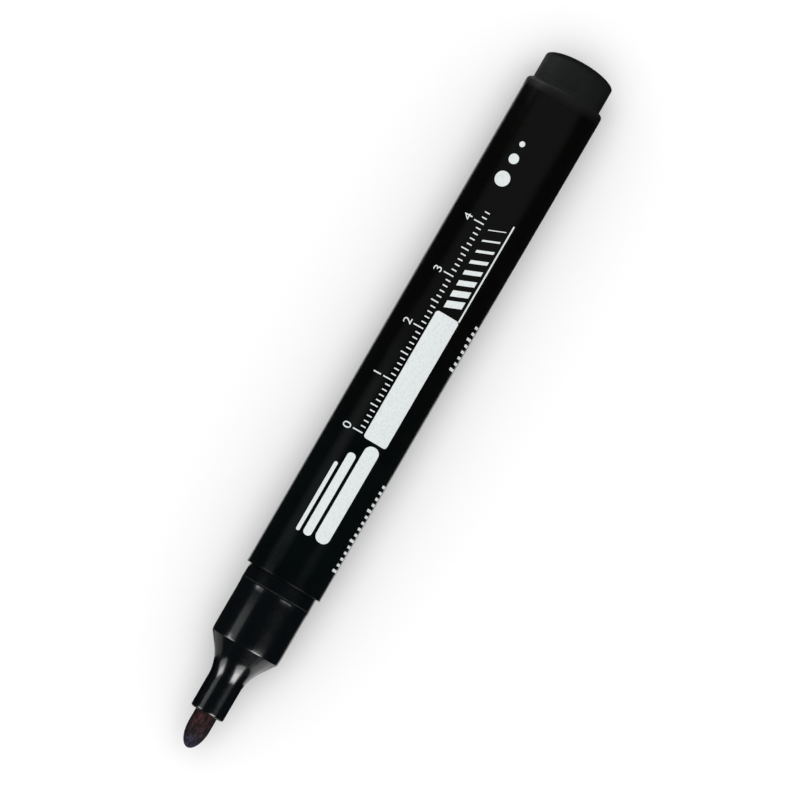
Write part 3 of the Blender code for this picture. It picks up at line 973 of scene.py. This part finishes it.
def matt_paint(name, colour):
    """A plain paint without any gloss."""
    paint = bpy.data.materials.new(name)
    paint.use_nodes = True
    shader = paint.node_tree.nodes["Principled BSDF"]
    shader.inputs["Base Color"].default_value = (*colour, 1)
    shader.inputs["Specular IOR Level"].default_value = 0.0
    return paint


def painted_sheet(name, corners, paint):
    """A flat sheet in one paint. Its corners' heights count from the table."""
    mesh = bpy.data.meshes.new(name)
    mesh.from_pydata([(x, y, table + height) for x, y, height in corners], [], [range(len(corners))])
    mesh.materials.append(paint)
    return new_object(name, mesh)


floor_corners = [(-REACH, -REACH, 0), (REACH, -REACH, 0), (REACH, REACH, 0), (-REACH, REACH, 0)]
floor = painted_sheet("floor", floor_corners, matt_paint("pale_floor", FLOOR_WHITE))

# Light: a pale sky and a soft lamp overhead light every piece evenly. Other panels show only in gloss: some
# in every piece, the brightest in the nose end alone, and long dim ones in the barrel alone. Black cards on
# the floor and beside the neck keep white out of the gloss. Brightness 1 is a white sheet in full light.
SKY_WHITE = 0.80
SKY_IN_GLOSS = 0.015
WATTS_OF_WHITE = 4
OVERHEAD_HEIGHT = 1.4
OVERHEAD_SIZE = 1.6
OVERHEAD_BRIGHTNESS = 0.9
# Boxes over the neck: degrees ahead and aside, length, width, brightness, direction of the length.
BOX_DISTANCE = 0.31
NOSE_BOX_DISTANCE = 0.30
RIGHT_BOX_ALONG = (0.84, -0.33, -0.39)
LEFT_BOX_ALONG = (0.71, 0.0, -0.71)
BOXES = (
    ("right_box", 37, 37, 0.27, 0.20, 0.9, RIGHT_BOX_ALONG),
    ("left_box", 33, -56, 0.22, 0.17, 0.7, LEFT_BOX_ALONG),
)
NOSE_BOXES = (
    ("right_nose_box", 37, 37, 0.27, 0.20, 2.3, RIGHT_BOX_ALONG),
    ("right_nose_box_middle", 32, 38, 0.19, 0.165, 3.6, RIGHT_BOX_ALONG),
    ("right_nose_box_core", 28, 38.5, 0.11, 0.125, 5.0, RIGHT_BOX_ALONG),
    ("left_nose_box", 33, -56, 0.22, 0.17, 1.5, LEFT_BOX_ALONG),
    ("left_nose_box_middle", 27, -55, 0.13, 0.14, 2.6, LEFT_BOX_ALONG),
    ("left_nose_box_core", 24, -55, 0.08, 0.10, 4.0, LEFT_BOX_ALONG),
)
# Boxes along the sides: degrees from straight up, rear, front, width, brightness.
SIDE_BOX_DISTANCE = 0.06
SIDE_BOXES = (
    ("right_side_box", 47, 0.046, 0.0725, 0.027, 0.28),
    ("left_side_box", -51, 0.0405, 0.0725, 0.027, 0.85),
)
BARREL_BOXES = (
    ("right_barrel_box", 41, -0.008, 0.040, 0.032, 0.030),
    ("right_barrel_box_middle", 40, -0.004, 0.040, 0.016, 0.030),
    ("left_barrel_box", -51, -0.018, 0.039, 0.046, 0.055),
    ("left_barrel_box_middle", -50, -0.010, 0.036, 0.032, 0.055),
    ("left_barrel_box_core", -49, -0.004, 0.033, 0.018, 0.055),
)
# Strips low beside the neck, facing up: near end, far end, width, brightness.
STRIP_HEIGHT = 0.001
STRIPS = (
    ("right_strip", (0.052, 0.0095), (0.103, 0.049), 0.008, 1.08),
    ("left_strip", (0.050, -0.0085), (0.075, -0.030), 0.006, 0.33),
)
# Boxes over the rear end: height, width, brightness. Boxes at the plug: place, length, width, brightness.
REAR_BOX_MIDDLE = -0.07
REAR_BOX_LENGTH = 0.10
REAR_BOXES = (
    ("rear_box", 0.112, 0.52, 0.045),
    ("rear_box_middle", 0.110, 0.39, 0.042),
    ("rear_box_core", 0.108, 0.28, 0.030),
)
PLUG_BOXES = (
    ("plug_side_box", (-0.086, -0.058, 0.014), 0.024, 0.030, 3.2),
    ("plug_rear_box", (-0.112, -0.020, 0.035), 0.040, 0.030, 0.6),
)
# Black cards: outlines of those on the floor, and the y and rear end of those that stand beside the neck.
FLAG_BLACK = (0.015, 0.015, 0.015)
FLAG_HEIGHT = 0.0003
FLAG_REAR = -0.067
RIGHT_FLAG = (
    (FLAG_REAR, 0.006), (-0.055, 0.008), (-0.035, 0.0085), (-0.010, 0.0115), (0.020, 0.0110), (0.042, 0.0112),
    (0.0585, 0.0098), (0.103, 0.047), (REACH, 2.28), (REACH, REACH), (FLAG_REAR, REACH),
)
LEFT_FLAG = (
    (FLAG_REAR, -REACH), (REACH, -REACH), (REACH, -0.007), (0.035, -0.007),
    (0.034, -0.0115), (-0.0625, -0.0115), (-0.0625, -0.025), (FLAG_REAR, -0.025),
)
REAR_FLAG = ((-REACH, -REACH), (FLAG_REAR, -REACH), (FLAG_REAR, REACH), (-REACH, REACH))
NECK_FLAGS = (("right_neck_flag", 0.0055, 0.0528), ("left_neck_flag", -0.0055, 0.0515))
NECK_FLAG_FRONT = 0.0615
NECK_FLAG_TOP = 0.0082


def placed(place, right, up, back):
    """Puts a light or the camera at a place, with its own three directions given."""
    return Matrix.Translation(place) @ Matrix((right, up, back)).transposed().to_4x4()


def panel_light(
    name, place, target, length, width, brightness, lengthwise=(1, 0, 0), gloss_only=True, lit=None
):
    """A flat soft light that faces a target, unseen by the camera, for all pieces or a collection of them."""
    data = bpy.data.lights.new(name, "AREA")
    data.shape = "RECTANGLE"
    data.size = length
    data.size_y = width
    data.energy = brightness * WATTS_OF_WHITE * length * width
    light = new_object(name, data)
    back = (Vector(place) - Vector(target)).normalized()
    side = Vector(lengthwise) - back * back.dot(Vector(lengthwise))
    side.normalize()
    light.matrix_world = placed(place, side, back.cross(side), back)
    light.visible_camera = False
    light.visible_glossy = gloss_only
    light.visible_diffuse = not gloss_only
    light.light_linking.receiver_collection = lit


def over_neck(ahead, aside, distance):
    """A place some degrees from straight up over the neck: ahead is past the nib, aside is towards +Y."""
    lean = math.radians(math.hypot(ahead, aside))
    turn = math.atan2(aside, ahead)
    flat = distance * math.sin(lean)
    return (neck_rear + flat * math.cos(turn), flat * math.sin(turn), axis_height + distance * math.cos(lean))


def black_flag(name, corners):
    """A black card that shows only in gloss."""
    card = painted_sheet(name, corners, flag_paint)
    for ray in ("camera", "diffuse", "transmission", "shadow"):
        setattr(card, "visible_" + ray, False)


panel_light(
    "overhead", (0, 0, OVERHEAD_HEIGHT), (0, 0, 0), OVERHEAD_SIZE, OVERHEAD_SIZE, OVERHEAD_BRIGHTNESS,
    gloss_only=False,
)
neck_middle = (neck_rear, 0, axis_height)
nose_end = bpy.data.collections.new("nose_end")
nose_end.objects.link(nose)
nose_end.objects.link(nib)
barrel_alone = bpy.data.collections.new("barrel_alone")
barrel_alone.objects.link(barrel)
for boxes, distance, lit in ((BOXES, BOX_DISTANCE, None), (NOSE_BOXES, NOSE_BOX_DISTANCE, nose_end)):
    for name, ahead, aside, length, width, brightness, lengthwise in boxes:
        place = over_neck(ahead, aside, distance)
        panel_light(name, place, neck_middle, length, width, brightness, lengthwise, lit=lit)
for boxes, lit in ((SIDE_BOXES, None), (BARREL_BOXES, barrel_alone)):
    for name, degrees, rear, front, width, brightness in boxes:
        angle = math.radians(degrees)
        beside = Vector((0, math.sin(angle), math.cos(angle))) * SIDE_BOX_DISTANCE
        target = Vector(((rear + front) / 2, 0, axis_height))
        panel_light(name, target + beside, target, front - rear, width, brightness, lit=lit)
for name, near, far, width, brightness in STRIPS:
    near = Vector((*near, STRIP_HEIGHT))
    far = Vector((*far, STRIP_HEIGHT))
    middle = (near + far) / 2
    panel_light(name, middle, middle + Vector((0, 0, 1)), (far - near).length, width, brightness, far - near)
for name, height, width, brightness in REAR_BOXES:
    under = (REAR_BOX_MIDDLE, 0, axis_height)
    panel_light(name, (REAR_BOX_MIDDLE, 0, height), under, REAR_BOX_LENGTH, width, brightness)
for name, place, length, width, brightness in PLUG_BOXES:
    panel_light(name, place, (plug_low.x, 0, axis_height), length, width, brightness)
flag_paint = matt_paint("flag_black", FLAG_BLACK)
for name, outline in (("right_flag", RIGHT_FLAG), ("left_flag", LEFT_FLAG), ("rear_flag", REAR_FLAG)):
    black_flag(name, [(x, y, FLAG_HEIGHT) for x, y in outline])
for name, y, rear in NECK_FLAGS:
    front = NECK_FLAG_FRONT
    black_flag(name, [(rear, y, 0), (front, y, 0), (front, y, NECK_FLAG_TOP), (rear, y, NECK_FLAG_TOP)])
world = bpy.data.worlds.new("studio")
world.use_nodes = True
in_gloss = add_node(world.node_tree, "ShaderNodeLightPath", output="Is Glossy Ray")
sky = world.node_tree.nodes["Background"]
sky.inputs["Color"].default_value = (1, 1, 1, 1)
world.node_tree.links.new(span(in_gloss, SKY_WHITE, SKY_IN_GLOSS, 0, 1), sky.inputs["Strength"])
bpy.context.scene.world = world

# Camera: a long lens that looks down on the marker, tilted a little towards its nib. The marker's place and
# direction in the picture are measured on the photograph, in pixels from its upper left corner.
PHOTO_WIDTH = 800
PIXELS_PER_METRE = 6000
LENS = 300
SENSOR = 36
CAMERA_TILT = math.radians(2.5)
NIB_DIRECTION_IN_PHOTO = math.radians(-120.17)
MARKER_MIDDLE_IN_PHOTO = (386.0, 404.7)
towards_camera = Vector((math.sin(CAMERA_TILT), 0, math.cos(CAMERA_TILT)))
along = (Vector((1, 0, 0)) - towards_camera * towards_camera.x).normalized()
aside = towards_camera.cross(along)
cosine = math.cos(NIB_DIRECTION_IN_PHOTO)
sine = math.sin(NIB_DIRECTION_IN_PHOTO)
image_right = along * cosine - aside * sine
image_up = along * sine + aside * cosine
middle_x, middle_y = MARKER_MIDDLE_IN_PHOTO
aim = Vector(((plug_low.x + nib_high.x) / 2, 0, axis_height))
aim += image_right * (PHOTO_WIDTH / 2 - middle_x) / PIXELS_PER_METRE
aim += image_up * (middle_y - PHOTO_WIDTH / 2) / PIXELS_PER_METRE
camera_data = bpy.data.cameras.new("camera")
camera_data.lens = LENS
camera_data.sensor_width = SENSOR
camera = new_object("camera", camera_data)
distance = PHOTO_WIDTH / PIXELS_PER_METRE * LENS / SENSOR
camera.matrix_world = placed(aim + towards_camera * distance, image_right, image_up, towards_camera)
bpy.context.scene.camera = camera
bpy.context.scene.view_settings.view_transform = "Standard"
